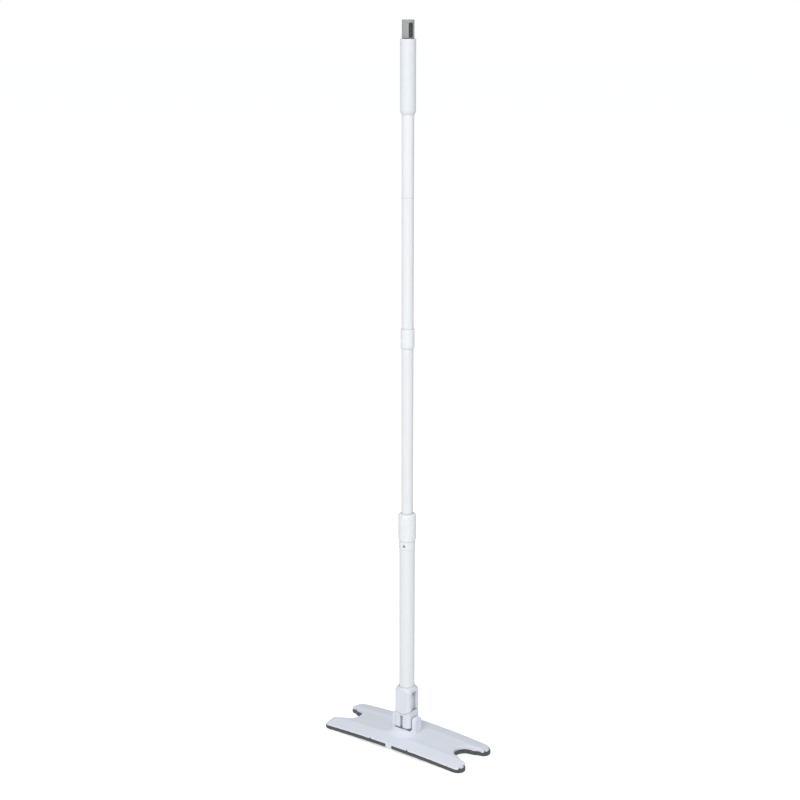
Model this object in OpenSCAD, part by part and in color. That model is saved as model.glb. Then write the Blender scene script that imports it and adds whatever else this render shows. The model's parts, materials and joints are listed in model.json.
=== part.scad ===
// Flat mop: a bone-shaped wiping head on a two-way joint, with a telescoping,
// twist-locked pole that ends in a grip and a hanging cap.
//
// Frame: +Z up the pole, +X along the head's long axis, -Y towards its front edge.
// The origin is on the floor, under the pole. Sizes are in millimetres.

/* [Head] */
// Length of the head from lobe tip to lobe tip
head_len = 284; // [250:1:320]
// Width of the head at its middle
head_w = 104; // [92:1:116]
// How much narrower each long edge is at the lobes than at the middle
head_belly = 3; // [1:0.5:5]
// Height of the head's lengthwise arch
arch_sag = 5; // [3:0.5:8]
// Radius of the round end of each lobe
lobe_r = 13; // [11:0.5:14]
// Depth of the notch between two lobes
notch_depth = 40; // [36:1:48]
// Width of the notch at its round bottom
notch_w = 36; // [32:1:40]
// Thickness of the base pads
pad_t = 6.2; // [5:0.1:6.5]
// Height of the plate's top at its long edges
edge_top = 9; // [8:0.1:10]
// Height of the plate's flat top
crest_top = 13.4; // [12.4:0.1:14]
// Distance of each crease line from the middle
crease_y = 27; // [22:1:32]
// Wall thickness of the moulded plate
plate_wall = 2.4; // [2:0.1:3]
// How far the plate stops short of the pads at each lobe tip
tip_cut = 5; // [3:0.5:6]
// Width of the centre rib between the two pads
rib_w = 12; // [8:1:16]

/* [Yoke on the head] */
// Gap between the two ears
ear_gap = 32.6; // [32.4:0.1:36]
// Thickness of one ear
ear_t = 8; // [5:0.1:9]
// Depth of an ear, front to back
ear_depth = 17; // [15:0.5:20]
// Height of the ears above the floor
ear_top = 46.5; // [46:0.5:49]
// Radius of the raised base between the ears, at its top
yoke_r = 21; // [20:0.5:24]
// Height of that base above the floor
yoke_top = 26.5; // [25.5:0.5:27.5]

/* [Two-way joint] */
// Height of the axis that the pole tips forwards and backwards on
tilt_z = 38; // [37:0.5:39]
// Height of the axis that the pole tips sideways on
side_z = 76; // [74:0.5:78]
// Side of the square column
column_w = 31; // [29:0.5:32]
// Corner radius of the column
column_r = 6; // [5:0.5:9]
// Radius of the curved seam between knuckle and socket
seam_r = 23; // [22:0.5:24]
// Thickness of the knuckle's tongue
tongue_t = 13.4; // [12:0.1:16]
// Radius of the tongue's round top
tongue_r = 10; // [8:0.5:10.5]
// Width of the gap between the knuckle's two legs
leg_gap = 5; // [4:0.5:7]
// Height of the legs' lower ends above the floor
leg_bottom = 28.5; // [28:0.5:30]
// Diameter of both joint pins
pin_d = 6; // [5:0.5:7]

/* [Pole] */
// Height of the socket's shoulder above the floor
shoulder_z = 94; // [93:0.5:96]
// Diameter of the slim tubes
slim_d = 19; // [18.5:0.1:20]
// Diameter of the outer tube
outer_d = 25.4; // [24.8:0.1:26]
// Wall thickness of the slim tubes
slim_wall = 1; // [0.8:0.1:1.4]
// Wall thickness of the outer tube
outer_wall = 1.2; // [1:0.1:1.4]
// Length of the outer tube
outer_len = 255; // [240:1:300]
// Length of inner tube in view between collar and coupling ring
inner_view = 274; // [230:1:320]
// Length of inner tube that stays inside when the pole is fully drawn out
inner_overlap = 45; // [40:1:50]
// Length of middle tube in view
middle_view = 206; // [160:1:250]
// Length of upper tube in view below the grip
upper_view = 126; // [90:1:160]

/* [Fittings] */
// Diameter of the locking collar
collar_d = 29; // [28.6:0.1:33]
// Length of the locking collar
collar_len = 46; // [45:1:54]
// Diameter of the coupling ring
ring_d = 22; // [21.4:0.1:24]
// Length of the coupling ring
ring_len = 30.5; // [26:0.5:36]
// Diameter of the grip
grip_d = 24.2; // [23:0.1:27]
// Length of the grip
grip_len = 112; // [90:1:140]
// Height of the hanging cap above the grip
cap_len = 28; // [26:0.5:34]
// Width of the hanging slot
slot_w = 7; // [6:0.5:8]
// Direction of the hanging slot, in degrees from the front towards +X
slot_turn = 64; // [0:1:90]

/* [Hidden] */
$fn = 64;
running = 0.08;                 // radial clearance of a running fit
snug = 0.04;                    // radial clearance of a fixed fit
body_gap = 0.4;                 // space between curved faces that move past each other
arch_fn = 720;                  // facets of the arch's large circle
slack = 1;                      // overshoot of a cut past the face it opens

// Head
half_l = head_len / 2;
half_w = head_w / 2;
rest_cut = 0.6;                 // foam cut off flat where the lobes rest on the floor
arch_rise = arch_sag + rest_cut;
arch_r = (pow(half_l, 2) + pow(arch_rise, 2)) / (2 * arch_rise);
arch_span = 2 * asin((half_l + 4) / arch_r);
belly_r = (pow(half_l, 2) + pow(head_belly, 2)) / (2 * head_belly);
lobe_x = half_l - lobe_r;
lobe_y = edge_y(lobe_x) - lobe_r;
notch_r = notch_w / 2;
notch_x = half_l - notch_depth + notch_r;
rim_w = 3;                      // wall of the plate's rim, seen from above
cross_rib_t = 2;
cross_rib_xs = [-90, -48, 48, 90];
pad_gap = 0.3;                  // space between a pad and the centre rib
tab_w = 9;                      // catch on each lobe tip that holds the cloth
tab_t = 1.4;
tab_reach = 2.6;
rib_bottom = 0.5;               // centre rib's height off the base plane
hook_t = 1;
hook_w = 17;
hook_len = 92;
hook_x0 = 16;                   // inner end of a hook strip
hook_y = 33;                    // middle line of a hook strip

// Yoke and joint
ear_in = ear_gap / 2;
ear_out = ear_in + ear_t;
ear_r = 5;                      // round top corners of an ear
yoke_foot_r = yoke_r + 14;
notch_step = 2;                 // how far the plate stops short of the pads in a notch
column_h = column_w / 2;
leg_reach = sqrt(pow(column_h, 2) + pow(tilt_z - leg_bottom, 2));
scoop_r = leg_reach + 0.8;
plate_top = arch_sag + crest_top;
pin_r = pin_d / 2;
slot_y = tongue_t + 0.6;        // width of the socket's through slot
slot_top = shoulder_z - 3;
slot_corner = 4;
leg_gap_top = side_z - seam_r - 3.4;
neck_w = 20;                    // width of the knuckle's neck and tongue, side to side
blind = 2.2;                    // skin left over a pin's blind end
washer_r = 6;
washer_t = ear_in - column_h - 0.2;

// Pole, from the shoulder up
tube_z = shoulder_z + 2;
collet_h = 17;
screw_z = tube_z + 13;
screw_r = 1.5;
spigot_top = shoulder_z + 27;
outer_top = tube_z + outer_len;
collar_z = outer_top + 4;
collar_top = collar_z + collar_len;
ring_z = collar_top + inner_view;
ring_top = ring_z + ring_len;
seam_z = ring_top + middle_view;
grip_z = seam_z + upper_view;
grip_top = grip_z + grip_len;
total_h = grip_top + cap_len;
inner_z = collar_z - inner_overlap;
slim_r = slim_d / 2;
slim_in = slim_r - slim_wall;
outer_r = outer_d / 2;
outer_in = outer_r - outer_wall;
stud_r = 6;                     // screw studs that join the slim tubes
insert_len = 25;
ring_seat = 10;                 // depth of the tube seats in the coupling ring
bush_floor = 3;
bush_len = 22;
skirt_t = 0.6;
skirt_gap = 0.6;                // space between skirt and collar
skirt_len = 13;
boss_top = collar_z + 22;
collar_lip = 4;

// ---------- shapes that repeat ----------

// A plain tube between two heights.
module tube(r_out, r_in, z0, z1) {
    translate([0, 0, z0])
        difference() {
            cylinder(r = r_out, h = z1 - z0);
            translate([0, 0, -slack])
                cylinder(r = r_in, h = z1 - z0 + 2 * slack);
        }
}

// Half-section of a turned part whose outer corners are round.
module round_section(r, z0, z1, round_low, round_high) {
    translate([0, z0 + round_low])
        square([r, z1 - z0 - round_low - round_high]);
    translate([0, z0])
        square([r - round_low, z1 - z0]);
    translate([0, z0])
        square([r - round_high, z1 - z0]);
    translate([r - round_low, z0 + round_low])
        circle(round_low);
    translate([r - round_high, z1 - round_high])
        circle(round_high);
}

// A square column with round corners, between two heights.
module column(z0, z1) {
    flat = column_w - 2 * column_r;
    translate([0, 0, z0])
        linear_extrude(z1 - z0)
            union() {
                square([column_w, flat], center = true);
                square([flat, column_w], center = true);
                for (sx = [-1, 1], sy = [-1, 1])
                    translate([sx * flat / 2, sy * flat / 2])
                        circle(column_r);
            }
}

// A rod along X through the tilt axis.
module tilt_rod(r, x0, x1) {
    translate([x0, 0, tilt_z])
        rotate([0, 90, 0])
            cylinder(r = r, h = x1 - x0);
}

// A rod along Y through the side axis.
module side_rod(r, y0, y1) {
    translate([0, y1, side_z])
        rotate([90, 0, 0])
            cylinder(r = r, h = y1 - y0);
}

// Points along an arc, from one angle to another.
function arc_points(centre, r, from, to, steps) =
    [for (i = [0 : steps])
        let (a = from + (to - from) * i / steps)
            [centre[0] + r * cos(a), centre[1] + r * sin(a)]];

// How far a long edge lies from the middle line, at a place along it.
function edge_y(x) = half_w - belly_r + sqrt(pow(belly_r, 2) - pow(x, 2));

// The head seen from above, drawn in by an inset: a slightly bowed long edge, then a
// lobe, the notch and the second lobe of one end, and the same again turned half round.
module head_outline(inset = 0) {
    edge_steps = 12;
    long_edge = [for (i = [0 : edge_steps])
        let (x = lobe_x * (2 * i / edge_steps - 1))
            [x, inset - edge_y(x)]];
    lobe_end = lobe_r - inset;
    one_end = concat(arc_points([lobe_x, -lobe_y], lobe_end, -90, 90, 20),
                     arc_points([notch_x, 0], notch_r + inset, 270, 90, 24),
                     arc_points([lobe_x, lobe_y], lobe_end, -90, 90, 20));
    half = concat(long_edge, one_end);
    polygon(concat(half, [for (p = half) -p]));
}

// Sweeps a section (height above the base plane, position across) along the arch.
module arched() {
    translate([0, 0, arch_sag - arch_r])
        rotate([90, 0, 0])
            rotate([0, 0, 90 - arch_span / 2])
                rotate_extrude(angle = arch_span, $fn = arch_fn)
                    translate([arch_r, 0])
                        children();
}

// An arched slab between two heights above the base plane.
module arched_slab(z0, z1) {
    arched()
        translate([z0, -half_w - slack])
            square([z1 - z0, head_w + 2 * slack]);
}

// ---------- the pole, from the top down ----------

module hanging_cap() {
    stem = 20;
    slot_h = cap_len - 5.5;
    slot_r = 2.2;
    color("#8f9396")
        difference() {
            union() {
                rotate_extrude()
                    round_section(slim_r, grip_top, total_h, 0.3, 1.6);
                translate([0, 0, grip_top - stem])
                    cylinder(r = slim_in - snug, h = stem + 1);
            }
            // The slot has round corners and goes right through.
            translate([0, 0, grip_top + 1.4])
                rotate([90, 0, slot_turn])
                    linear_extrude(slim_d + 2 * slack, center = true)
                        union() {
                            translate([-slot_w / 2, slot_r])
                                square([slot_w, slot_h - 2 * slot_r]);
                            translate([slot_r - slot_w / 2, 0])
                                square([slot_w - 2 * slot_r, slot_h]);
                            for (sx = [-1, 1], z = [slot_r, slot_h - slot_r])
                                translate([sx * (slot_w / 2 - slot_r), z])
                                    circle(slot_r);
                        }
        }
}

module grip_sleeve() {
    taper = 5;
    nose_r = slim_r + 0.9;
    color("#eaeef3")
        difference() {
            rotate_extrude()
                union() {
                    round_section(grip_d / 2, grip_z + taper, grip_top, 0.3, 1.8);
                    polygon([[0, grip_z], [nose_r, grip_z], [grip_d / 2, grip_z + taper],
                             [grip_d / 2, grip_z + taper + 1], [0, grip_z + taper + 1]]);
                }
            translate([0, 0, grip_z - slack])
                cylinder(r = slim_r + snug, h = grip_len + 2 * slack);
        }
}

module upper_tube() {
    color("#f3f4f6")
        tube(slim_r, slim_in, seam_z, grip_top);
}

// A moulded insert with a screw bore, held in the end of a slim tube.
module insert(z0, z1) {
    tube(slim_in - snug, stud_r + running, z0, z1);
}

module upper_insert() {
    color("#dfe3e8")
        insert(seam_z + 0.2, seam_z + insert_len);
}

module middle_plug() {
    color("#dfe3e8")
        union() {
            translate([0, 0, seam_z - insert_len])
                cylinder(r = slim_in - snug, h = insert_len);
            translate([0, 0, seam_z - 1])
                cylinder(r = stud_r, h = insert_len - 2);
        }
}

module middle_tube() {
    color("#f3f4f6")
        tube(slim_r, slim_in, ring_top - ring_seat, seam_z - 0.2);
}

module middle_insert() {
    color("#dfe3e8")
        insert(ring_top - ring_seat, ring_top + insert_len - ring_seat);
}

module coupling_ring() {
    color("#f0f3f6")
        difference() {
            rotate_extrude()
                round_section(ring_d / 2, ring_z, ring_top, 0.8, 0.8);
            translate([0, 0, ring_z - slack])
                cylinder(r = slim_r + snug, h = ring_seat + slack);
            translate([0, 0, ring_top - ring_seat])
                cylinder(r = slim_r + snug, h = ring_seat + slack);
            translate([0, 0, ring_z])
                cylinder(r = stud_r + running, h = ring_len);
        }
}

module coupling_stud() {
    reach = insert_len - ring_seat - 3;
    color("#c9ced4")
        translate([0, 0, ring_z - reach])
            cylinder(r = stud_r, h = ring_len + 2 * reach);
}

module inner_insert() {
    color("#dfe3e8")
        insert(ring_z + ring_seat - insert_len, ring_z + ring_seat);
}

module inner_tube() {
    color("#f3f4f6")
        tube(slim_r, slim_in, inner_z, ring_z + ring_seat);
}

// A cup on the inner tube's lower end that guides it in the outer tube.
module guide_bush() {
    color("#d5dade")
        difference() {
            translate([0, 0, inner_z - bush_floor])
                cylinder(r = outer_in - running, h = bush_len);
            translate([0, 0, inner_z])
                cylinder(r = slim_r + snug, h = bush_len);
        }
}

module lock_collar() {
    boss_bore = outer_r + running;
    color("#eef1f5")
        difference() {
            rotate_extrude()
                round_section(collar_d / 2, collar_z, collar_top, 1.2, 4);
            translate([0, 0, collar_z - slack])
                cylinder(r = boss_bore, h = collar_len - collar_lip + slack);
            translate([0, 0, collar_top - collar_lip - slack])
                cylinder(r = slim_r + body_gap, h = collar_lip + 2 * slack);
        }
}

// A split cone that the collar squeezes onto the inner tube.
module lock_collet() {
    slit = 1.6;
    top_r = outer_r - 2;
    color("#c9ced4")
        translate([0, 0, boss_top + body_gap])
            difference() {
                cylinder(r1 = outer_r - body_gap, r2 = top_r, h = collet_h);
                translate([0, 0, -slack])
                    cylinder(r = slim_r + running, h = collet_h + 2 * slack);
                translate([0, -slit / 2, -slack])
                    cube([outer_d, slit, collet_h + 2 * slack]);
            }
}

// The fitting on the outer tube's top that the collar screws down on.
module lock_sleeve() {
    skirt_r = outer_r + skirt_t;
    skirt_top = collar_z - skirt_gap;
    skirt_z = skirt_top - skirt_len;
    arrow_turn = 14;
    arrow_w = 6;
    color("#e6eaee")
        difference() {
            union() {
                rotate_extrude()
                    round_section(skirt_r, skirt_z, skirt_top, 0.3, 0.4);
                translate([0, 0, outer_top])
                    cylinder(r = outer_r, h = boss_top - outer_top);
            }
            translate([0, 0, skirt_z - slack])
                cylinder(r = outer_r + snug, h = outer_top - skirt_z + slack);
            translate([0, 0, outer_top - slack])
                cylinder(r = slim_r + running, h = boss_top - outer_top + 2 * slack);
            // A plain arrow head that points up at the collar.
            rotate([0, 0, arrow_turn])
                translate([0, 0.4 - skirt_r, collar_z - 9])
                    rotate([90, 0, 0])
                        linear_extrude(slack)
                            polygon([[-arrow_w / 2, 0], [arrow_w / 2, 0], [0, 5.2]]);
        }
}

module outer_tube() {
    color("#f3f4f6")
        difference() {
            tube(outer_r, outer_in, tube_z, outer_top);
            translate([0, 0, screw_z])
                rotate([-90, 0, 0])
                    cylinder(r = screw_r + snug, h = outer_d);
        }
}

// A self-tapping screw at the back that holds the outer tube on the spigot.
module socket_screw() {
    head_r = 3;
    head_h = 1.5;
    under = outer_r + 0.02;
    color("#b9bcc0")
        translate([0, 0, screw_z])
            rotate([-90, 0, 0])
                union() {
                    translate([0, 0, outer_r - 8])
                        cylinder(r = screw_r, h = 8.6);
                    difference() {
                        translate([0, 0, under])
                            cylinder(r = head_r, h = head_h);
                        translate([0, 0, under + head_h])
                            cube([3.6, 0.8, 1.4], center = true);
                        translate([0, 0, under + head_h])
                            cube([0.8, 3.6, 1.4], center = true);
                    }
                }
}

// ---------- the two-way joint ----------

module pole_socket() {
    rise = 5.5;
    foot_r = (column_h - column_r) * sqrt(2) + column_r;
    top_r = outer_r + 1.1;
    color("#eceff3")
        difference() {
            union() {
                column(side_z, shoulder_z);
                intersection() {
                    column(side_z - seam_r, side_z);
                    side_rod(seam_r, -column_w, column_w);
                }
                // The shoulder slopes up to the foot of the tube.
                intersection() {
                    column(shoulder_z - slack, shoulder_z + rise);
                    translate([0, 0, shoulder_z - 0.4])
                        cylinder(r1 = foot_r, r2 = top_r, h = rise + 0.4);
                }
                translate([0, 0, shoulder_z])
                    cylinder(r = outer_in - snug, h = spigot_top - shoulder_z);
            }
            // Seat for the tube, round the spigot.
            translate([0, 0, tube_z])
                difference() {
                    cylinder(r = outer_r + snug, h = rise);
                    translate([0, 0, -slack])
                        cylinder(r = outer_in - snug, h = rise + 2 * slack);
                }
            // The tongue swings in a slot that is open to both sides.
            translate([0, 0, slot_top])
                rotate([0, 0, 90])
                    rotate([90, 0, 0])
                        linear_extrude(2 * column_w, center = true)
                            union() {
                                flat = slot_y / 2 - slot_corner;
                                for (s = [-1, 1])
                                    translate([s * flat, -slot_corner])
                                        circle(slot_corner);
                                translate([-flat, -slot_corner])
                                    square([2 * flat, slot_corner]);
                                translate([-slot_y / 2, -2 * column_w - slot_corner])
                                    square([slot_y, 2 * column_w]);
                            }
            // The pin goes in from the back and stops short of the front.
            side_rod(pin_r + snug, blind - column_h, column_h + slack);
            // Pilot hole for the screw.
            translate([0, 0, screw_z])
                rotate([-90, 0, 0])
                    cylinder(r = screw_r + snug, h = outer_r);
        }
}

module side_pin() {
    color("silver")
        side_rod(pin_r, blind - column_h + 0.2, column_h - 0.4);
}

module knuckle() {
    color("#e9ecf1")
        difference() {
            union() {
                // The lower block, cut to a hollow arc that the socket rocks in.
                difference() {
                    column(leg_bottom, side_z - 12);
                    side_rod(seam_r + body_gap, -column_w, column_w);
                }
                // The tongue that reaches up into the socket.
                translate([-neck_w / 2, -tongue_t / 2, side_z - seam_r - 4])
                    cube([neck_w, tongue_t, seam_r + 4]);
                side_rod(tongue_r, -tongue_t / 2, tongue_t / 2);
            }
            // The gap that leaves two legs.
            translate([-leg_gap / 2, -column_w, leg_bottom - slack])
                cube([leg_gap, 2 * column_w, leg_gap_top - leg_bottom + slack]);
            side_rod(pin_r + running, -column_w, column_w);
            tilt_rod(pin_r + running, -column_w, column_w);
        }
}

module tilt_pin() {
    color("silver")
        tilt_rod(pin_r, -ear_out + 0.4, ear_out - blind - 0.2);
}

module tilt_washers() {
    color("#b9bcc0")
        for (s = [-1, 1])
            difference() {
                tilt_rod(washer_r, s * (ear_in - washer_t / 2) - washer_t / 2,
                         s * (ear_in - washer_t / 2) + washer_t / 2);
                tilt_rod(pin_r + snug, -ear_out, ear_out);
            }
}

// ---------- the head ----------

// One ear of the yoke, on the +X side, with its top corners rounded.
module ear() {
    corner_z = ear_top - ear_r;
    translate([ear_in, -ear_depth / 2, plate_top - 2])
        cube([ear_t, ear_depth, corner_z - plate_top + 2]);
    translate([ear_in, ear_r - ear_depth / 2, corner_z - slack])
        cube([ear_t, ear_depth - 2 * ear_r, ear_r + slack]);
    for (sy = [-1, 1])
        translate([ear_in, sy * (ear_depth / 2 - ear_r), corner_z])
            rotate([0, 90, 0])
                cylinder(r = ear_r, h = ear_t);
}

// The catches on the four lobe tips, as blocks that are thick enough to cut with.
module tab_blocks() {
    for (sx = [-1, 1], sy = [-1, 1])
        translate([sx * (half_l - tip_cut + tab_reach / 2), sy * lobe_y, plate_top / 2])
            cube([tab_reach + 2 * slack, tab_w, plate_top], center = true);
}

// Both notches, grown by a step, as tall solids.
module notches(step) {
    mouth = lobe_y - lobe_r + step;
    throat = notch_r + step;
    for (side = [0, 180])
        rotate([0, 0, side])
            linear_extrude(ear_top)
                union() {
                    translate([notch_x, 0])
                        circle(r = throat);
                    polygon([[notch_x, -throat], [lobe_x, -mouth], [half_l + slack, -mouth],
                             [half_l + slack, mouth], [lobe_x, mouth], [notch_x, throat]]);
                }
}

module head_plate() {
    color("#e6eaf0")
        difference() {
            union() {
                // The moulded top: flat along the middle, sloping to both edges.
                intersection() {
                    arched()
                        polygon([[pad_t, -half_w], [edge_top, -half_w],
                                 [crest_top, -crease_y], [crest_top, crease_y],
                                 [edge_top, half_w], [pad_t, half_w]]);
                    linear_extrude(ear_top)
                        intersection() {
                            head_outline();
                            square([head_len - 2 * tip_cut, head_w], center = true);
                        }
                }
                // The centre rib that parts the two pads.
                intersection() {
                    arched_slab(rib_bottom, pad_t + 1);
                    translate([-rib_w / 2, -half_w, 0])
                        cube([rib_w, head_w, plate_top]);
                }
                // The raised base between the ears, which slopes down to the plate.
                intersection() {
                    translate([0, 0, plate_top - 2])
                        cylinder(r1 = yoke_foot_r, r2 = yoke_r, h = yoke_top - plate_top + 2);
                    translate([-ear_out, -yoke_foot_r, 0])
                        cube([2 * ear_out, 2 * yoke_foot_r, ear_top]);
                }
                // The catches on the lobe tips.
                intersection() {
                    arched_slab(pad_t, pad_t + tab_t);
                    tab_blocks();
                }
                ear();
                mirror([1, 0, 0])
                    ear();
            }
            notches(notch_step);
            // The pockets under the top, between the ribs.
            difference() {
                intersection() {
                    arched()
                        polygon([[0, rim_w - half_w], [edge_top - plate_wall, rim_w - half_w],
                                 [crest_top - plate_wall, -crease_y],
                                 [crest_top - plate_wall, crease_y],
                                 [edge_top - plate_wall, half_w - rim_w],
                                 [0, half_w - rim_w]]);
                    linear_extrude(plate_top)
                        intersection() {
                            head_outline(rim_w);
                            square([head_len - 2 * (tip_cut + rim_w), head_w], center = true);
                        }
                }
                notches(notch_step + plate_wall);
                translate([-rib_w / 2, -half_w, 0])
                    cube([rib_w, head_w, plate_top]);
                for (x = cross_rib_xs)
                    translate([x - cross_rib_t / 2, -half_w, 0])
                        cube([cross_rib_t, head_w, plate_top]);
            }
            // The hollow that the knuckle's legs swing through.
            intersection() {
                tilt_rod(scoop_r, -ear_in, ear_in);
                translate([-ear_in, -column_w, 0])
                    cube([ear_gap, 2 * column_w, tilt_z]);
            }
            tilt_rod(pin_r + snug, -ear_out - slack, ear_out - blind);
        }
}

// One hook strip, as a block that is thick enough to cut with.
module hook_block(sx, sy) {
    translate([sx > 0 ? hook_x0 : -hook_x0 - hook_len, sy * hook_y - hook_w / 2, 0])
        cube([hook_len, hook_w, plate_top]);
}

module base_pad(side) {
    near = rib_w / 2 + pad_gap;
    color("#54585c")
        difference() {
            intersection() {
                arched_slab(0, pad_t);
                linear_extrude(plate_top)
                    head_outline();
                translate([side > 0 ? near : -half_l - slack, -half_w, 0])
                    cube([half_l + slack - near, head_w, plate_top]);
            }
            // Shallow seats for the hook strips.
            intersection() {
                arched_slab(-slack, hook_t);
                for (sy = [-1, 1])
                    hook_block(side, sy);
            }
        }
}

module base_pad_left() {
    base_pad(-1);
}

module base_pad_right() {
    base_pad(1);
}

module hook_strips() {
    color("#2f3236")
        for (sx = [-1, 1], sy = [-1, 1])
            intersection() {
                arched_slab(0, hook_t);
                hook_block(sx, sy);
            }
}

hanging_cap();
grip_sleeve();
upper_tube();
upper_insert();
middle_plug();
middle_tube();
middle_insert();
coupling_ring();
coupling_stud();
inner_insert();
inner_tube();
guide_bush();
lock_collar();
lock_collet();
lock_sleeve();
outer_tube();
socket_screw();
pole_socket();
side_pin();
knuckle();
tilt_pin();
tilt_washers();
head_plate();
base_pad_left();
base_pad_right();
hook_strips();
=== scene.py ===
# %% [markdown]
# # A flat mop, finished in Blender
# The mop comes in as a fixed frame: every tube, pin and plate is already in its place, at
# its real size. This lesson gives each piece its finish, and remakes the pieces whose
# edges have to look turned, moulded or cut from foam.

# %% Load the frame
import json
import math

import bmesh
import bpy
from mathutils import Matrix, Vector


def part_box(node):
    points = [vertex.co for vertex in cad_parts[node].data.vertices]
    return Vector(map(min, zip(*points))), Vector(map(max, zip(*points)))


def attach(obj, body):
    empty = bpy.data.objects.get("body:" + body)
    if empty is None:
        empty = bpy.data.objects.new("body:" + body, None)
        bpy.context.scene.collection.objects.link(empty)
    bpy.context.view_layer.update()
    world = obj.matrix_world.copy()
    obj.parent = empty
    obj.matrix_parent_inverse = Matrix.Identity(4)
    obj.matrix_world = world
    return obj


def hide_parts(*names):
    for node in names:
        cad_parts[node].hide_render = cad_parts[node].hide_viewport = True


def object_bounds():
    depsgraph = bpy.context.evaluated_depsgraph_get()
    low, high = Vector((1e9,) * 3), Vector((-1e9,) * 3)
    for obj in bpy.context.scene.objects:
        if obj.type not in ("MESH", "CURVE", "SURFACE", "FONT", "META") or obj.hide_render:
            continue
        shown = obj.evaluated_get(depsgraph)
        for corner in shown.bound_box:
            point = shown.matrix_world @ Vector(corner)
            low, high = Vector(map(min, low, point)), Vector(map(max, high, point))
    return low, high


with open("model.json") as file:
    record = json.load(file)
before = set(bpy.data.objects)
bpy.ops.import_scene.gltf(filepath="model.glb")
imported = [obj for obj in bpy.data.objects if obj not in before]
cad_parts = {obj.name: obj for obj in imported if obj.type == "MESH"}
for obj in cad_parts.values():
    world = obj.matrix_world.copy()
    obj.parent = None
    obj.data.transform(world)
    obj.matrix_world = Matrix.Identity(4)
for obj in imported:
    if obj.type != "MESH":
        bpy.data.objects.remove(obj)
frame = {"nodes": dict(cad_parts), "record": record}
cad_box = [list(corner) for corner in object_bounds()]
MM = 0.001                      # the sizes below are in millimetres
nodes = frame["nodes"]
print("pieces in the frame:", len(nodes))


# %% [markdown]
# ## The room
# A white mop on a white ground shows its shape only through soft shade. The key lamp
# stands in front of the mop and well above it, so each tube is brightest along its middle
# and greyer at both edges, and the head's front slope is lighter than its back slope.
# To the camera alone the floor glows a little, which keeps it white up to the horizon.

# %% Floor, world and lamps
def plain_surface(name, colour, roughness, glow):
    """A quiet surface for the floor, with a faint cloudiness so that it isn't dead flat."""
    material = bpy.data.materials.new(name)
    material.use_nodes = True
    tree = material.node_tree
    shader = tree.nodes["Principled BSDF"]
    shader.inputs["Roughness"].default_value = roughness
    shader.inputs["Emission Color"].default_value = (1, 1, 1, 1)
    path = tree.nodes.new("ShaderNodeLightPath")
    seen = tree.nodes.new("ShaderNodeMath")
    seen.operation = "MULTIPLY"
    seen.inputs[1].default_value = glow
    tree.links.new(path.outputs["Is Camera Ray"], seen.inputs[0])
    tree.links.new(seen.outputs[0], shader.inputs["Emission Strength"])
    place = tree.nodes.new("ShaderNodeTexCoord")
    cloud = tree.nodes.new("ShaderNodeTexNoise")
    cloud.inputs["Scale"].default_value = 3.0
    tint = tree.nodes.new("ShaderNodeMix")
    tint.data_type = "RGBA"
    tint.inputs["A"].default_value = (*colour, 1)
    tint.inputs["B"].default_value = (*[c * 0.985 for c in colour], 1)
    tree.links.new(place.outputs["Object"], cloud.inputs["Vector"])
    tree.links.new(cloud.outputs["Fac"], tint.inputs["Factor"])
    tree.links.new(tint.outputs["Result"], shader.inputs["Base Color"])
    return material


def add_floor(half_size):
    shape = bmesh.new()
    bmesh.ops.create_grid(shape, x_segments=2, y_segments=2, size=half_size)
    mesh = bpy.data.meshes.new("floor")
    shape.to_mesh(mesh)
    shape.free()
    floor = bpy.data.objects.new("floor", mesh)
    bpy.context.scene.collection.objects.link(floor)
    mesh.materials.append(plain_surface("floor_pale", (0.93, 0.935, 0.94), 0.7, 0.56))


def add_lamp(name, place, aim, size, power):
    light = bpy.data.lights.new(name, "AREA")
    light.shape = "RECTANGLE"
    light.size, light.size_y = size
    light.energy = power
    lamp = bpy.data.objects.new(name, light)
    lamp.location = place
    lamp.rotation_euler = (Vector(aim) - Vector(place)).to_track_quat("-Z", "Y").to_euler()
    bpy.context.scene.collection.objects.link(lamp)


def add_world(room_light, seen_white):
    """The room lights the mop evenly, and shows as plain white behind it."""
    world = bpy.data.worlds.new("studio")
    bpy.context.scene.world = world
    world.use_nodes = True
    tree = world.node_tree
    tree.nodes.clear()
    path = tree.nodes.new("ShaderNodeLightPath")
    lit = tree.nodes.new("ShaderNodeBackground")
    lit.inputs["Color"].default_value = (0.97, 0.985, 1.0, 1)
    lit.inputs["Strength"].default_value = room_light
    seen = tree.nodes.new("ShaderNodeBackground")
    seen.inputs["Color"].default_value = (1, 1, 1, 1)
    seen.inputs["Strength"].default_value = seen_white
    choose = tree.nodes.new("ShaderNodeMixShader")
    out = tree.nodes.new("ShaderNodeOutputWorld")
    tree.links.new(path.outputs["Is Camera Ray"], choose.inputs["Fac"])
    tree.links.new(lit.outputs[0], choose.inputs[1])
    tree.links.new(seen.outputs[0], choose.inputs[2])
    tree.links.new(choose.outputs[0], out.inputs["Surface"])


add_floor(20.0)
add_world(0.48, 1.0)
add_lamp("key", (1.1, -2.95, 3.1), (0, 0, 0.4), (2.0, 2.0), 86)
add_lamp("fill", (2.9, -0.3, 1.5), (0, 0, 0.5), (1.2, 2.2), 7)
add_lamp("left", (-2.9, -0.6, 1.6), (0, 0, 0.5), (1.2, 2.2), 2)
bpy.context.scene.view_settings.view_transform = "Standard"


# %% [markdown]
# ## The camera
# The mop is seen from a standing person's eye height, a little above the pole's top, from
# its front right. A long lens keeps the tall pole straight.

# %% Camera
EYE_AZIMUTH = 36.6              # degrees from the front, towards +X
EYE_DISTANCE = 2.46             # metres from the pole, along the floor
EYE_ABOVE_TOP = 0.060
EYE_PITCH = 14.75               # degrees downwards
EYE_YAW = 0.275                 # degrees to the left, which sets the pole right of centre
EYE_ROLL = 0.04
LENS = 72.14


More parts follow.
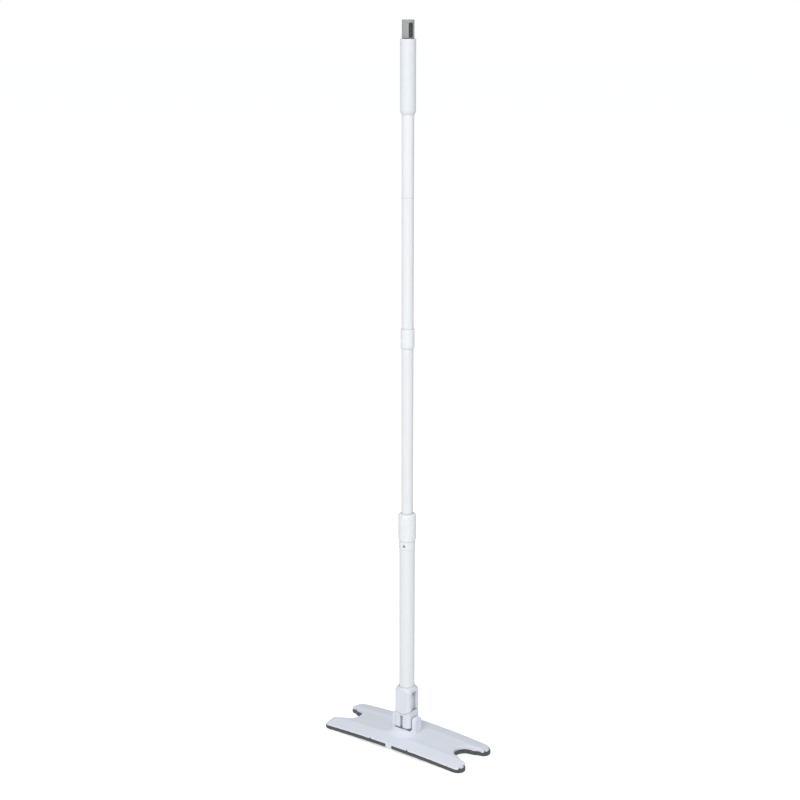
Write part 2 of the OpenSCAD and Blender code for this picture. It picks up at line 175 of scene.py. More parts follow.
def add_camera():
    turn = math.radians(EYE_AZIMUTH)
    top = cad_box[1][2]
    data = bpy.data.cameras.new("eye")
    data.lens = LENS
    data.sensor_width = 36.0
    data.clip_end = 60
    eye = bpy.data.objects.new("eye", data)
    place = Matrix.Translation((EYE_DISTANCE * math.sin(turn), -EYE_DISTANCE * math.cos(turn),
                                top + EYE_ABOVE_TOP))
    look = (Matrix.Rotation(turn + math.radians(EYE_YAW), 4, "Z")
            @ Matrix.Rotation(math.radians(90 - EYE_PITCH), 4, "X")
            @ Matrix.Rotation(math.radians(EYE_ROLL), 4, "Z"))
    eye.matrix_world = place @ look
    bpy.context.scene.collection.objects.link(eye)
    bpy.context.scene.camera = eye
    print("camera height:", round(eye.matrix_world.translation.z, 3))


add_camera()


# %% [markdown]
# ## Finishes
# Each finish is one short node tree on a Principled shader. All of them read Object
# coordinates, so the grain stays in the piece at its real scale. Three layers make a
# moulded plastic believable: a very faint cloudiness of the colour, a roughness that
# wanders a little, and a fine grain that only breaks up the highlights. On top comes
# painted shade: an Ambient Occlusion node finds gaps and recesses, and the colour is
# darkened there.

# %% Node helpers
class Finish:
    """A material under construction, with the few nodes that every finish here needs."""

    def __init__(self, name):
        self.material = bpy.data.materials.new(name)
        self.material.use_nodes = True
        self.tree = self.material.node_tree
        self.shader = self.tree.nodes["Principled BSDF"]
        self.place = self.node("ShaderNodeTexCoord").outputs["Object"]

    def node(self, kind):
        return self.tree.nodes.new(kind)

    def link(self, a, b):
        self.tree.links.new(a, b)

    def stretched(self, scale):
        """Object coordinates, drawn out along an axis."""
        mapping = self.node("ShaderNodeMapping")
        mapping.inputs["Scale"].default_value = scale
        self.link(self.place, mapping.inputs["Vector"])
        return mapping.outputs["Vector"]

    def noise(self, scale, detail=2.0, where=None):
        grain = self.node("ShaderNodeTexNoise")
        grain.inputs["Scale"].default_value = scale
        grain.inputs["Detail"].default_value = detail
        self.link(where or self.place, grain.inputs["Vector"])
        return grain.outputs["Fac"]

    def cells(self, scale, kind="F1"):
        pores = self.node("ShaderNodeTexVoronoi")
        pores.feature = kind
        pores.inputs["Scale"].default_value = scale
        self.link(self.place, pores.inputs["Vector"])
        return pores.outputs["Distance"]

    def spread(self, value, low, high, from_low=0.3, from_high=0.7):
        """Maps a noise, most of which lies between from_low and from_high, to a range."""
        span = self.node("ShaderNodeMapRange")
        span.inputs["From Min"].default_value = from_low
        span.inputs["From Max"].default_value = from_high
        span.inputs["To Min"].default_value = low
        span.inputs["To Max"].default_value = high
        self.link(value, span.inputs["Value"])
        return span.outputs["Result"]

    def mix(self, factor, a, b):
        """Blends two colours; each is a tuple or another node's output."""
        blend = self.node("ShaderNodeMix")
        blend.data_type = "RGBA"
        self.link(factor, blend.inputs["Factor"])
        for socket, colour in (("A", a), ("B", b)):
            if isinstance(colour, tuple):
                blend.inputs[socket].default_value = (*colour, 1)
            else:
                self.link(colour, blend.inputs[socket])
        return blend.outputs["Result"]

    def gap_shade(self, reach):
        """1 in the open and less in gaps that are narrower than reach: the mask for painted shade."""
        shade = self.node("ShaderNodeAmbientOcclusion")
        shade.samples = 6
        shade.inputs["Distance"].default_value = reach
        return shade.outputs["AO"]

    def bump(self, height, depth, strength=1.0, under=None):
        relief = self.node("ShaderNodeBump")
        relief.inputs["Distance"].default_value = depth
        relief.inputs["Strength"].default_value = strength
        self.link(height, relief.inputs["Height"])
        if under:
            self.link(under, relief.inputs["Normal"])
        return relief.outputs["Normal"]

    def wear(self, colour=None, roughness=None, normal=None):
        """Puts the layers on the shader and gives back the finished material."""
        for socket, source in (("Base Color", colour), ("Roughness", roughness),
                               ("Normal", normal)):
            if source is not None:
                self.link(source, self.shader.inputs[socket])
        return self.material


def tone(colour, factor):
    return tuple(min(c * factor, 1.0) for c in colour)


# %% Plastic, powder coat, foam, hook tape and steel
def moulded(name, colour, rough, grain_depth=0.02, grain_scale=900, gap_reach=3.0, coat=0.0,
            gap_shade_tone=0.76):
    """Injection-moulded plastic with painted shade in its gaps: depth and reach are in millimetres."""
    f = Finish(name)
    cloud = f.noise(26, 3)
    shaded = f.mix(cloud, tone(colour, 0.985), tone(colour, 1.01))
    # painted shade: gaps and recesses within reach are darkened towards a grey tone of the colour
    gap = f.spread(f.gap_shade(gap_reach * MM), 1.0, 0.0, 0.35, 0.95)
    with_painted_shade = f.mix(gap, shaded, tone(colour, gap_shade_tone))
    gloss = f.spread(f.noise(70, 4), rough - 0.05, rough + 0.06)
    flow = f.bump(f.noise(45, 1, f.stretched((1, 1, 0.35))), 0.02 * MM, 0.4)
    relief = f.bump(f.noise(grain_scale, 2), grain_depth * MM, 0.8, flow)
    f.shader.inputs["Coat Weight"].default_value = coat
    f.shader.inputs["Coat Roughness"].default_value = 0.12
    f.shader.inputs["IOR"].default_value = 1.5
    return f.wear(with_painted_shade, gloss, relief)


def powder_coated(name, colour):
    """Baked paint on a metal tube: an orange-peel skin that is glossy between its dimples."""
    f = Finish(name)
    cloud = f.noise(12, 2)
    scuff = f.spread(f.noise(160, 5, f.stretched((1, 1, 0.08))), 0.0, 1.0, 0.58, 0.8)
    base = f.mix(cloud, tone(colour, 0.985), tone(colour, 1.01))
    rubbed = f.mix(scuff, base, tone(colour, 0.965))
    # painted shade: the colour darkens in gaps between pieces
    gap = f.spread(f.gap_shade(3 * MM), 0.8, 0.0, 0.4, 0.95)
    with_painted_shade = f.mix(gap, rubbed, tone(colour, 0.6))
    gloss = f.spread(f.noise(300, 3), 0.26, 0.4)
    peel = f.bump(f.noise(620, 1), 0.035 * MM, 0.7)
    f.shader.inputs["Coat Weight"].default_value = 0.2
    f.shader.inputs["Coat Roughness"].default_value = 0.15
    return f.wear(with_painted_shade, gloss, peel)


def soft_grip(name, colour):
    """Rubber-like sleeve: matte, with a tight stipple that hands have polished a little."""
    f = Finish(name)
    cloud = f.noise(30, 3)
    base = f.mix(cloud, tone(colour, 0.965), tone(colour, 1.015))
    # painted shade: the colour darkens in gaps between pieces
    gap = f.spread(f.gap_shade(3 * MM), 0.8, 0.0, 0.4, 0.95)
    with_painted_shade = f.mix(gap, base, tone(colour, 0.6))
    polished = f.spread(f.noise(22, 2), 0.5, 0.66)
    stipple = f.bump(f.cells(1500), 0.06 * MM, 0.7)
    f.shader.inputs["Sheen Weight"].default_value = 0.15
    f.shader.inputs["Sheen Roughness"].default_value = 0.4
    return f.wear(with_painted_shade, polished, stipple)


def foam(name, colour):
    """Closed-cell foam rubber: matte, peppered with fine open cells along its skin."""
    f = Finish(name)
    cloud = f.noise(55, 4)
    base = f.mix(cloud, tone(colour, 0.8), tone(colour, 1.22))
    cell = f.spread(f.cells(1100), 0.0, 1.0, 0.0, 0.55)
    pored = f.mix(cell, tone(colour, 0.55), base)
    matte = f.spread(f.noise(90, 3), 0.72, 0.9)
    pits = f.bump(f.cells(1100), 0.12 * MM, 0.8)
    swell = f.bump(f.noise(140, 2), 0.15 * MM, 0.6, pits)
    f.shader.inputs["Sheen Weight"].default_value = 0.2
    f.shader.inputs["Sheen Roughness"].default_value = 0.6
    return f.wear(pored, matte, swell)


def hook_tape(name, colour):
    """Woven tape under the hooks: fine ribs across and along."""
    f = Finish(name)
    along = f.noise(420, 2, f.stretched((6, 1, 1)))
    across = f.noise(420, 2, f.stretched((1, 6, 1)))
    base = f.mix(along, tone(colour, 0.6), tone(colour, 1.6))
    weave = f.bump(across, 0.12 * MM, 0.8, f.bump(along, 0.12 * MM, 0.8))
    return f.wear(base, f.spread(across, 0.45, 0.75), weave)


def bright_steel(name, colour):
    """Drawn steel wire and washers: metal with fine lines round the piece."""
    f = Finish(name)
    line = f.noise(500, 3, f.stretched((0.1, 1, 1)))
    f.shader.inputs["Metallic"].default_value = 1.0
    base = f.mix(line, tone(colour, 0.85), tone(colour, 1.1))
    return f.wear(base, f.spread(line, 0.22, 0.4), f.bump(line, 0.02 * MM, 0.6))


FINISHES = {
    "tube_white": powder_coated("powder_coat_white", (0.86, 0.875, 0.89)),
    "grip_white": soft_grip("grip_cool_white", (0.79, 0.82, 0.845)),
    # the gap settings set the painted shade in gaps: faint on the fittings, darker in the joint's window
    "fitting_white": moulded("fitting_gloss_white", (0.88, 0.90, 0.92), 0.27, coat=0.25,
                             gap_shade_tone=0.86),
    "joint_white": moulded("joint_satin_white", (0.80, 0.825, 0.88), 0.34, gap_reach=5.0,
                           gap_shade_tone=0.72),
    "plate_white": moulded("plate_satin_white", (0.815, 0.855, 0.935), 0.36, 0.03, 700),
    "inner_plastic": moulded("inner_natural", (0.70, 0.72, 0.73), 0.5),
    # painted shade: a long reach and a near-black tone paint the inside of the cap's slot dark
    "grey_plastic": moulded("cap_grey", (0.37, 0.38, 0.385), 0.24, gap_reach=20.0, coat=0.3,
                            gap_shade_tone=0.10),
    "pad_grey": foam("pad_foam_grey", (0.075, 0.082, 0.090)),
    "hook_black": hook_tape("hook_tape_black", (0.030, 0.031, 0.034)),
    "steel": bright_steel("bright_steel", (0.62, 0.62, 0.63)),
}
ARROW_INK = moulded("arrow_ink_grey", (0.22, 0.23, 0.25), 0.5)
slot_of = {part["node"]: part["material_slot"] for part in frame["record"]["subparts"]}
for name, node in nodes.items():
    node.data.materials.clear()
    node.data.materials.append(FINISHES[slot_of[name]])
print("finishes:", len(FINISHES))


# %% [markdown]
# ## Keeping a piece
# Every remade piece goes through one door: it rides on the body of the CAD node that it
# stands for, and it gets the finish of that node's slot. Weighted normals keep long plain
# walls flat next to small round edges.

# %% Keep, soften and apply
body_of_node = {n: b for b, group in frame["record"]["behaviour"]["bodies"].items()
                for n in group}


def object_of(name, shape):
    """Turns a bmesh into an object at the origin."""
    mesh = bpy.data.meshes.new(name)
    shape.to_mesh(mesh)
    shape.free()
    piece = bpy.data.objects.new(name, mesh)
    bpy.context.scene.collection.objects.link(piece)
    return piece


def apply_modifiers(piece):
    bpy.context.view_layer.update()
    seen = piece.evaluated_get(bpy.context.evaluated_depsgraph_get())
    mesh = bpy.data.meshes.new_from_object(seen)
    piece.modifiers.clear()
    piece.data = mesh
    return piece


def keep(piece, node):
    """piece stands for a CAD node from here on."""
    for face in piece.data.polygons:
        face.use_smooth = True
    weigh = piece.modifiers.new("weighted", "WEIGHTED_NORMAL")
    weigh.mode = "FACE_AREA"
    apply_modifiers(piece)
    slot = slot_of[node]
    piece.data.materials.clear()
    piece.data.materials.append(FINISHES[slot])
    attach(piece, body_of_node[node])
    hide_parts(node)
    print(piece.name, "faces:", len(piece.data.polygons))
    return piece


def soften(shape, width, angle=30):
    """Rounds every edge sharper than angle, by width in millimetres."""
    sharp = [e for e in shape.edges
             if e.is_manifold and e.calc_face_angle(0) > math.radians(angle)]
    bmesh.ops.bevel(shape, geom=sharp, offset=width * MM, affect="EDGES", segments=3,
                    profile=0.5, material=-1, clamp_overlap=True)


# %% [markdown]
# ## Turned pieces
# Tubes, rings, caps and collars are all made like pots on a wheel: a few points give half
# the section, Spin takes it round the pole's axis, and a small bevel rounds the edges.

# %% A turned shape
ROUND_STEPS = 96


def turned(section, width, closed=True):
    """A bmesh spun from a section of (radius, height) points; closed for a tube's wall."""
    shape = bmesh.new()
    points = [shape.verts.new((r * MM, 0, z)) for r, z in section]
    ends = points[1:] + points[:1] if closed else points[1:]
    lines = [shape.edges.new(pair) for pair in zip(points, ends)]
    bmesh.ops.spin(shape, geom=points + lines, cent=(0, 0, 0), axis=(0, 0, 1),
                   angle=2 * math.pi, steps=ROUND_STEPS, use_merge=True)
    bmesh.ops.remove_doubles(shape, verts=shape.verts, dist=1e-6)
    bmesh.ops.recalc_face_normals(shape, faces=shape.faces)
    soften(shape, width)
    return shape


def heights(node):
    """The lowest and highest level of a CAD node, in metres."""
    low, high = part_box(node)
    return low[2], high[2]


def radius(node):
    """Half the width of a round CAD node, in millimetres."""
    low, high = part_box(node)
    return (high[0] - low[0]) / 2 / MM


# %% Tubes
SLIM_WALL = 1.0
OUTER_WALL = 1.2
LOOSE = 0.04                    # air between a tube and what is pushed over it
for node, wall in (("upper_tube", SLIM_WALL), ("middle_tube", SLIM_WALL),
                   ("inner_tube", SLIM_WALL), ("outer_tube", OUTER_WALL)):
    z0, z1 = heights(node)
    r = radius(node)
    tube = turned([(r, z0), (r, z1), (r - wall, z1), (r - wall, z0)], 0.25)
    keep(object_of(node + "_skin", tube), node)

# %% Grip sleeve
grip_low, grip_high = heights("grip_sleeve")
grip_r = radius("grip_sleeve")
slim_r = radius("upper_tube")
bore = slim_r + LOOSE
GRIP_LIP = 0.6                  # the sleeve's wall at its thin lower end
GRIP_TAPER = 4.0                # how high its taper reaches
grip = turned([(bore, grip_low), (slim_r + GRIP_LIP, grip_low),
               (grip_r - 0.3, grip_low + GRIP_TAPER * MM),
               (grip_r, grip_low + (GRIP_TAPER + 1.4) * MM), (grip_r, grip_high), (bore, grip_high)], 0.7)
keep(object_of("grip_sleeve_skin", grip), "grip_sleeve")

# %% Coupling ring
ring_low, ring_high = heights("coupling_ring")
ring_r = radius("coupling_ring")
ring = turned([(bore, ring_low), (ring_r, ring_low), (ring_r, ring_high), (bore, ring_high)], 0.8)
keep(object_of("coupling_ring_skin", ring), "coupling_ring")

# %% Locking collar
collar_low, collar_high = heights("lock_collar")
collar_r = radius("lock_collar")
boss_bore = radius("outer_tube") + 2 * LOOSE
collar_bore = slim_r + 0.15
lip = 4 * MM
CROWN_R = 4.1                   # round shoulder at the collar's top
CROWN_STEPS = 8
crown = []
for i in range(CROWN_STEPS + 1):
    turn = math.pi / 2 * i / CROWN_STEPS
    crown.append((collar_r - CROWN_R * (1 - math.cos(turn)),
                  collar_high - CROWN_R * (1 - math.sin(turn)) * MM))
collar = turned([(boss_bore, collar_low), (collar_r - 0.9, collar_low),
                 (collar_r, collar_low + 3.0 * MM), *crown,
                 (collar_bore, collar_high), (collar_bore, collar_high - lip),
                 (boss_bore, collar_high - lip)], 0.5)
keep(object_of("lock_collar_skin", collar), "lock_collar")


# %% [markdown]
# ## Cutting with another shape
# A slot or a notch is cut with a Boolean modifier. The cutter is a plain bmesh that is
# thrown away afterwards.

# %% Boolean helpers
def carve(piece, cutter, operation="DIFFERENCE"):
    cut = piece.modifiers.new("cut", "BOOLEAN")
    cut.operation = operation
    cut.solver = "EXACT"
    cut.object = cutter
    apply_modifiers(piece)
    bpy.data.objects.remove(cutter)
    return piece


def slab(x, y, z, corner=0.0):
    """A box between two places along each axis; corner rounds the edges that run along Y."""
    shape = bmesh.new()
    middle = Vector([(a + b) / 2 for a, b in (x, y, z)]) * MM
    size = [(b - a) * MM for a, b in (x, y, z)]
    bmesh.ops.create_cube(shape, size=1,
                          matrix=Matrix.Translation(middle) @ Matrix.Diagonal((*size, 1)))
    if corner:
        across = [e for e in shape.edges if abs(e.verts[0].co.y - e.verts[1].co.y) > size[1] / 2]
        bmesh.ops.bevel(shape, geom=across, offset=corner * MM, affect="EDGES", segments=6,
                        profile=0.5, material=-1)
    return object_of("cutter", shape)


def rod(centre, r, length, axis):
    """A cylinder along one axis, in millimetres."""
    shape = bmesh.new()
    turn = {"X": Matrix.Rotation(math.pi / 2, 4, "Y"), "Y": Matrix.Rotation(math.pi / 2, 4, "X"),
            "Z": Matrix.Identity(4)}[axis]
    bmesh.ops.create_cone(shape, cap_ends=True, segments=96, radius1=r * MM,
                          radius2=r * MM, depth=length * MM,
                          matrix=Matrix.Translation(Vector(centre) * MM) @ turn)
    return object_of("cutter", shape)


def prism(profile, x):
    """A solid with a profile of (y, z) points, between two places along X."""
    shape = bmesh.new()
    face = shape.faces.new([shape.verts.new((x[0] * MM, y * MM, z * MM)) for y, z in profile])
    grown = bmesh.ops.extrude_face_region(shape, geom=[face])
    moved = [v for v in grown["geom"] if isinstance(v, bmesh.types.BMVert)]
    bmesh.ops.translate(shape, vec=((x[1] - x[0]) * MM, 0, 0), verts=moved)
    bmesh.ops.recalc_face_normals(shape, faces=shape.faces)
    return object_of("cutter", shape)


def melt(piece, voxel, passes):
    """Rounds every edge of a moulded piece: a fine voxel skin, then a few smoothing passes."""
    skin = piece.modifiers.new("skin", "REMESH")
    skin.mode = "VOXEL"
    skin.voxel_size = voxel * MM
    relax = piece.modifiers.new("relax", "SMOOTH")
    relax.factor = 0.5
    relax.iterations = passes
    return apply_modifiers(piece)


def merged_copy(node):
    """A CAD node's shape with its loose triangles joined."""
    shape = bmesh.new()
    shape.from_mesh(nodes[node].data)
    bmesh.ops.remove_doubles(shape, verts=shape.verts, dist=1e-6)
    return object_of(node + "_skin", shape)


# %% [markdown]
# ## Lock sleeve and its arrow
# The fitting below the collar carries a small arrow head that points at the lock. It is
# cut into the skirt and filled with grey, so it shows from any side light.

# %% Lock sleeve
sleeve_low, sleeve_high = heights("lock_sleeve")
sleeve_r = radius("lock_sleeve")
outer_r = radius("outer_tube")
skirt_high = collar_low - 0.6 * MM
tube_top = heights("outer_tube")[1]
skirt_bore = outer_r + LOOSE
guide_bore = slim_r + 2 * LOOSE
sleeve = turned([(skirt_bore, sleeve_low), (sleeve_r, sleeve_low), (sleeve_r, skirt_high),
                 (outer_r, skirt_high), (outer_r, sleeve_high), (guide_bore, sleeve_high),
                 (guide_bore, tube_top), (skirt_bore, tube_top)], 0.35)
sleeve = object_of("lock_sleeve_skin", sleeve)
ARROW_TURN = 14.0               # degrees from the front
ARROW_R = 3.4
ARROW_BELOW = 7.2               # from the collar's lower rim to the arrow's middle


def arrow_head(depth_in, depth_out):
    """A three-sided prism on the skirt's front, between two depths from its surface."""
    shape = bmesh.new()
    turn = Matrix.Rotation(math.radians(ARROW_TURN), 4, "Z")
    middle = turn @ Vector((0, -(sleeve_r + (depth_out - depth_in) / 2) * MM,
                            collar_low - ARROW_BELOW * MM))
    stand = Matrix.Rotation(math.pi / 2, 4, "X")
    bmesh.ops.create_cone(shape, cap_ends=True, segments=3, radius1=ARROW_R * MM,
                          radius2=ARROW_R * MM, depth=(depth_in + depth_out) * MM,
                          matrix=Matrix.Translation(middle) @ turn @ stand)
    return object_of("arrow_mark", shape)


carve(sleeve, arrow_head(0.45, 1.0))
keep(sleeve, "lock_sleeve")
arrow = arrow_head(0.55, -0.12)
arrow.data.materials.append(ARROW_INK)
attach(arrow, "lower_pole")

# %% [markdown]
# ## Hanging cap
# The grey plug at the top is turned like the rest, then a slot with round corners is cut
# right through it and its rim is melted soft, as the mould leaves it.

# %% Hanging cap
cap_low, cap_high = heights("hanging_cap")
cap_r = radius("hanging_cap")
cap_seat = grip_high
cap_stem = cap_seat - 6 * MM
stem_r = slim_r - SLIM_WALL - LOOSE
cap = object_of("hanging_cap_skin", turned(
    [(0, cap_stem), (stem_r, cap_stem), (stem_r, cap_seat), (cap_r, cap_seat),
     (cap_r, cap_high), (0, cap_high)], 0.9, False))
SLOT_W = 7.0
SLOT_CORNER = 2.2
SLOT_TURN = 64.0                # degrees from the side view
SLOT_LOW = cap_seat / MM + 1.4
SLOT_HIGH = cap_high / MM - 4.1
slot = slab((-SLOT_W / 2, SLOT_W / 2), (-20, 20), (SLOT_LOW, SLOT_HIGH),
            SLOT_CORNER)
slot.data.transform(Matrix.Rotation(math.radians(SLOT_TURN), 4, "Z"))
carve(cap, slot)
keep(melt(cap, 0.28, 6), "hanging_cap")

# %% [markdown]
# ## The two-way joint
# Socket and knuckle are thick satin mouldings that meet in a curved seam. Their shapes are
# right as they come, so a merged copy of each is only melted, which rounds its edges and
# leaves the window, the legs and the seam where they are.

# %% Socket and knuckle
for node in ("pole_socket", "knuckle"):
    keep(melt(merged_copy(node), 0.36, 5), node)

# %% [markdown]
# ## The head's outline
# Seen from above the head is a bone: a slightly bowed bar with two round lobes at each
# end. Bar, lobes and notches are simple solids, joined and cut by Booleans. Plate and pads
# use the same outline, so they line up all the way round.

# %% Bone-shaped solid
plate_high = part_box("head_plate")[1]
pad_low, pad_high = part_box("base_pad_right")
HALF_L = pad_high[0] / MM
HALF_W = pad_high[1] / MM
BELLY = 3.0                     # how much the long edges draw in towards the lobes
ARCH = 5.6                      # height of the lengthwise arch
REST_CUT = 0.6                  # foam cut off flat where the lobes rest on the floor
LOBE_R = 13.0
NOTCH_R = 18.0
NOTCH_DEPTH = 40.0
PAD_T = 6.2


def bow(x, half, rise):
    """Height of a circular arc of that rise over a bar of that half length."""
    r = (half * half + rise * rise) / (2 * rise)
    return rise - r + math.sqrt(r * r - x * x)


LOBE_X = HALF_L - LOBE_R
LOBE_Y = HALF_W - BELLY + bow(LOBE_X, HALF_L, BELLY) - LOBE_R
NOTCH_X = HALF_L - NOTCH_DEPTH + NOTCH_R


def bar(top, bottom, length, width, cuts):
    """A bar whose top and bottom follow two height functions of (x, y), in millimetres."""
    shape = bmesh.new()
    bmesh.ops.create_grid(shape, x_segments=cuts[0], y_segments=cuts[1], size=0.5)
    bmesh.ops.scale(shape, vec=(length, width, 1), verts=shape.verts)
    low = list(shape.verts)
    grown = bmesh.ops.extrude_face_region(shape, geom=shape.faces[:])
    high = [v for v in grown["geom"] if isinstance(v, bmesh.types.BMVert)]
    for corners, height in ((low, bottom), (high, top)):
        for v in corners:
            v.co.z = height(v.co.x, v.co.y)
    bmesh.ops.scale(shape, vec=(MM, MM, MM), verts=shape.verts)
    bmesh.ops.recalc_face_normals(shape, faces=shape.faces)
    return shape


def notch_wedge(side, step=0.0):
    """The part of a notch that opens out, from the round bottom to the mouth."""
    shape = bmesh.new()
    bmesh.ops.create_cube(shape, size=1)
    mouth = LOBE_Y - LOBE_R + step
    for v in shape.verts:
        outer = v.co.x > 0
        v.co.x = (LOBE_X if outer else NOTCH_X) * MM * side
        v.co.y = math.copysign(mouth if outer else NOTCH_R + step, v.co.y) * MM
        v.co.z *= 100 * MM
    bmesh.ops.recalc_face_normals(shape, faces=shape.faces)
    return object_of("cutter", shape)


def bone(name, step=0.0):
    """The outline as a tall solid, with notches that may be a step larger."""
    shape = bar(lambda x, y: 60, lambda x, y: -20, 2 * LOBE_X, 1, (32, 1))
    for v in shape.verts:
        reach = HALF_W - BELLY + bow(v.co.x / MM, HALF_L, BELLY)
        v.co.y = math.copysign(reach * MM, v.co.y)
    piece = object_of(name, shape)
    for sx in (-1, 1):
        for sy in (-1, 1):
            carve(piece, rod((sx * LOBE_X, sy * LOBE_Y, 20), LOBE_R, 80, "Z"), "UNION")
    for sx in (-1, 1):
        carve(piece, rod((sx * NOTCH_X, 0, 20), NOTCH_R + step, 100, "Z"))
        carve(piece, notch_wedge(sx, step))
        ends = sorted((sx * (LOBE_X - 0.01), sx * (HALF_L + 5)))
        mouth = LOBE_Y - LOBE_R + step
        carve(piece, slab(ends, (-mouth, mouth), (-30, 70)))
    return piece


# %% [markdown]
# ## Base pads
# The two foam pads are what touches the floor. Each is a slab along the head's arch, cut
# to the bone outline and stopped at the centre rib, with seats for the hook tape.

# %% Base pads
def arch(x, y=0):
    """Height of the arch above the floor; the lobe tips dip just below it."""
    return bow(max(-HALF_L, min(HALF_L, x)), HALF_L, ARCH) - REST_CUT


HOOK_X = (16.0, 108.0)
HOOK_Y = 33.0
HOOK_W = 17.0
HOOK_T = 1.0
RIB_GAP = pad_low[0] / MM

for side, node in ((-1, "base_pad_left"), (1, "base_pad_right")):
    pad = object_of(node + "_foam", bar(lambda x, y: arch(x) + PAD_T, lambda x, y: max(arch(x), 0),
                                        2 * HALF_L + 4, 2 * HALF_W + 4, (142, 8)))
    carve(pad, bone("cutter"), "INTERSECT")
    carve(pad, slab(sorted((-side * (HALF_L + 5), side * RIB_GAP)), (-60, 60), (-10, 30)))
    for sy in (-1, 1):
        seat = bar(lambda x, y: arch(x) + HOOK_T, lambda x, y: arch(x) - 3,
                   HOOK_X[1] - HOOK_X[0], HOOK_W, (46, 1))
        bmesh.ops.translate(seat, vec=(side * sum(HOOK_X) / 2 * MM, sy * HOOK_Y * MM, 0),
                            verts=seat.verts)
        for v in seat.verts:
            v.co.z += (arch(v.co.x / MM) - arch(v.co.x / MM - side * sum(HOOK_X) / 2)) * MM
        carve(pad, object_of("cutter", seat))
    keep(melt(pad, 0.8, 5), node)

# %% [markdown]
# ## Hook tape
# Four strips of hook tape hold the cloth. The tape is a thin slab in its seat, and its
# hooks are hundreds of small tapered pegs, made once and repeated with two arrays. Strip
# and pegs are then laid along the arch.

# %% Hook strips
PEG_STEP = 2.0
PEG_TALL = 0.7
PEG_ROOT = 0.5
PEG_TIP = 0.28
TAPE_GAP = 0.4                  # how much smaller the tape is than its seat


def hook_strip(name, side, sy):
    long = HOOK_X[1] - HOOK_X[0]
    middle = side * sum(HOOK_X) / 2
    tape = object_of(name, bar(lambda x, y: HOOK_T, lambda x, y: 0.06,
                               long - TAPE_GAP, HOOK_W - TAPE_GAP, (46, 4)))
    peg = bmesh.new()
    bmesh.ops.create_cone(peg, cap_ends=True, segments=5, radius1=PEG_TIP * MM,
                          radius2=PEG_ROOT * MM, depth=PEG_TALL * MM,
                          matrix=Matrix.Translation(((2 - long / 2) * MM, (1.5 - HOOK_W / 2) * MM,
                                                     -PEG_TALL / 2 * MM)))
    pegs = object_of("pegs", peg)
    for count, step in ((int((long - 3) / PEG_STEP), (PEG_STEP * MM, 0, 0)),
                        (int((HOOK_W - 2) / PEG_STEP) + 1, (0, PEG_STEP * MM, 0))):
        row = pegs.modifiers.new("row", "ARRAY")
        row.use_relative_offset = False
        row.use_constant_offset = True
        row.constant_offset_displace = step
        row.count = count
    apply_modifiers(pegs)
    joined = bmesh.new()
    joined.from_mesh(tape.data)
    joined.from_mesh(pegs.data)
    for v in joined.verts:
        v.co.x += middle * MM
        v.co.y += sy * HOOK_Y * MM
        v.co.z += arch(v.co.x / MM) * MM
    for old in (tape, pegs):
        bpy.data.objects.remove(old)
    return joined


strips = bmesh.new()
for side in (-1, 1):
    for sy in (-1, 1):
        part = hook_strip("tape", side, sy)
        mesh = bpy.data.meshes.new("part")
        part.to_mesh(mesh)
        part.free()
        strips.from_mesh(mesh)
hooks = object_of("hook_strips_tape", strips)
hooks.data.materials.append(FINISHES["hook_black"])
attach(hooks, "head")
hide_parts("hook_strips")
print("hook strip faces:", len(hooks.data.polygons))

# %% [markdown]
# ## Head plate
# The plate is one thin moulding. Its top is flat along the middle, breaks at two soft
# crease lines and slopes to the long edges, and it drops a little towards the lobe tips.
# A low mound rises under the joint, and the two ears stand beside it. Everything is
# joined by Booleans, and one melt gives the whole plate the same small moulded radius.

# %% Plate top
EDGE_TOP = 9.0
CREST_TOP = 13.4
CREASE_Y = 27.0
TIP_CUT = 5.0
TIP_RAMP = 14.0                 # length of the slope at each lobe tip
TIP_DROP = 2.2
NOTCH_STEP = 2.0                # how far the plate stops short of the pads in a notch
MOUND_FLAT = 16.0               # radius of the mound's flat top under the joint
MOUND_FOOT = 34.0               # where the mound has run out into the plate
FIELD_DISH = 0.7                # how far the flat middle sinks between the creases


def ease(t):
    """0 to 1 with soft ends."""
    t = max(0.0, min(1.0, t))
    return t * t * (3 - 2 * t)


def plate_top(x, y):
    """Height of the top, with its creases and the yoke's mound."""
    slope = max(0.0, (abs(y) - CREASE_Y) / (HALF_W - CREASE_Y))
    height = CREST_TOP - (CREST_TOP - EDGE_TOP) * slope
    height -= FIELD_DISH * ease((CREASE_Y - abs(y)) / 9) * ease((abs(x) - 22) / 14)
    height -= TIP_DROP * ease((abs(x) - (HALF_L - TIP_RAMP)) / TIP_RAMP)
    mound = ease((MOUND_FOOT - math.hypot(x, y)) / (MOUND_FOOT - MOUND_FLAT))
    mound *= ease((EAR_OUT + 4 - abs(x)) / 10)
    return (arch(x) + height) * (1 - mound) + YOKE_TOP * mound


# %% Plate, ears and mound
TILT_Z = 38.0
EAR_IN = 16.3
EAR_OUT = 24.3
EAR_DEPTH = 17.0
EAR_R = 5.0                     # round top corners of an ear
EAR_TOP = plate_high[2] / MM
YOKE_TOP = 26.5
SCOOP_R = 18.98
RIB_W = 12.0
GROUND = 14.0                   # a level inside the plate, where what stands on it starts

plate = object_of("head_plate_shell", bar(plate_top, lambda x, y: arch(x) + PAD_T,
                                          2 * (HALF_L - TIP_CUT), 2 * HALF_W + 4, (140, 54)))
carve(plate, bone("cutter", NOTCH_STEP), "INTERSECT")

# The centre rib parts the pads and reaches down almost to the floor.
rib = object_of("cutter", bar(lambda x, y: arch(x) + PAD_T + 1, lambda x, y: arch(x) + 0.5,
                              RIB_W, 2 * HALF_W - 0.4, (6, 2)))
carve(plate, rib, "UNION")

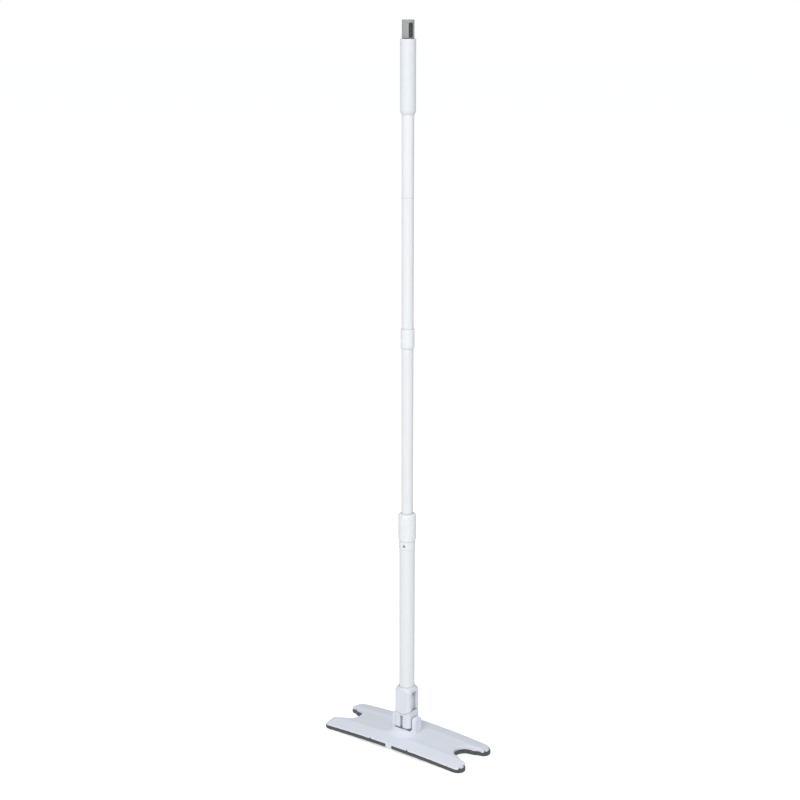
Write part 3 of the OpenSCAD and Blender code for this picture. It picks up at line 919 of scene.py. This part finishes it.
side_view = [(-EAR_DEPTH / 2, GROUND), (EAR_DEPTH / 2, GROUND)]
for turn in range(0, 181, 15):
    centre = (EAR_DEPTH / 2 - EAR_R) * (1 if turn <= 90 else -1)
    side_view.append((centre + EAR_R * math.cos(math.radians(turn)),
                      EAR_TOP - EAR_R + EAR_R * math.sin(math.radians(turn))))
for side in (-1, 1):
    carve(plate, prism(side_view, sorted((side * EAR_IN, side * EAR_OUT))), "UNION")

carve(plate, rod((0, 0, TILT_Z), SCOOP_R, 2 * EAR_IN, "X"))
PIN_R = 3.04
PIN_END = EAR_OUT - 2.2         # the pin's hole stops short of the right ear's face
carve(plate, rod(((PIN_END - EAR_OUT - 2) / 2, 0, TILT_Z), PIN_R,
                 PIN_END + EAR_OUT + 2, "X"))

# %% [markdown]
# ### Catches, pockets and ticks
# The plate is cut off straight near each lobe tip. A pocket opens there, and a small
# catch reaches out of it over the pad. Each long edge has two short ticks over the pads.

# %% Catches, pockets and ticks
TAB_W = 9.0
TAB_T = 1.4
TAB_REACH = 2.6
POCKET_W = 13.0
POCKET_DEEP = 3.4
POCKET_T = 2.3
TICK_X = 38.0
TICK_W = 2.6
TICK_DEEP = 3.2
TICK_T = 2.4
for sx in (-1, 1):
    tip = sx * (HALF_L - TIP_CUT)
    for sy in (-1, 1):
        y = sy * LOBE_Y
        low = arch(tip) + PAD_T
        carve(plate, slab(sorted((tip - sx * POCKET_DEEP, tip + sx)),
                          (y - POCKET_W / 2, y + POCKET_W / 2), (low - 1, low + POCKET_T)))
        carve(plate, slab(sorted((tip - sx * 5, tip + sx * TAB_REACH)),
                          (y - TAB_W / 2, y + TAB_W / 2), (low + 0.1, low + TAB_T)), "UNION")
        level = arch(TICK_X) + PAD_T
        carve(plate, slab((sx * TICK_X - TICK_W / 2, sx * TICK_X + TICK_W / 2),
                          sorted((sy * (HALF_W - TICK_DEEP), sy * (HALF_W + 2))),
                          (level - 1, level + TICK_T)))
keep(melt(plate, 0.6, 6), "head_plate")
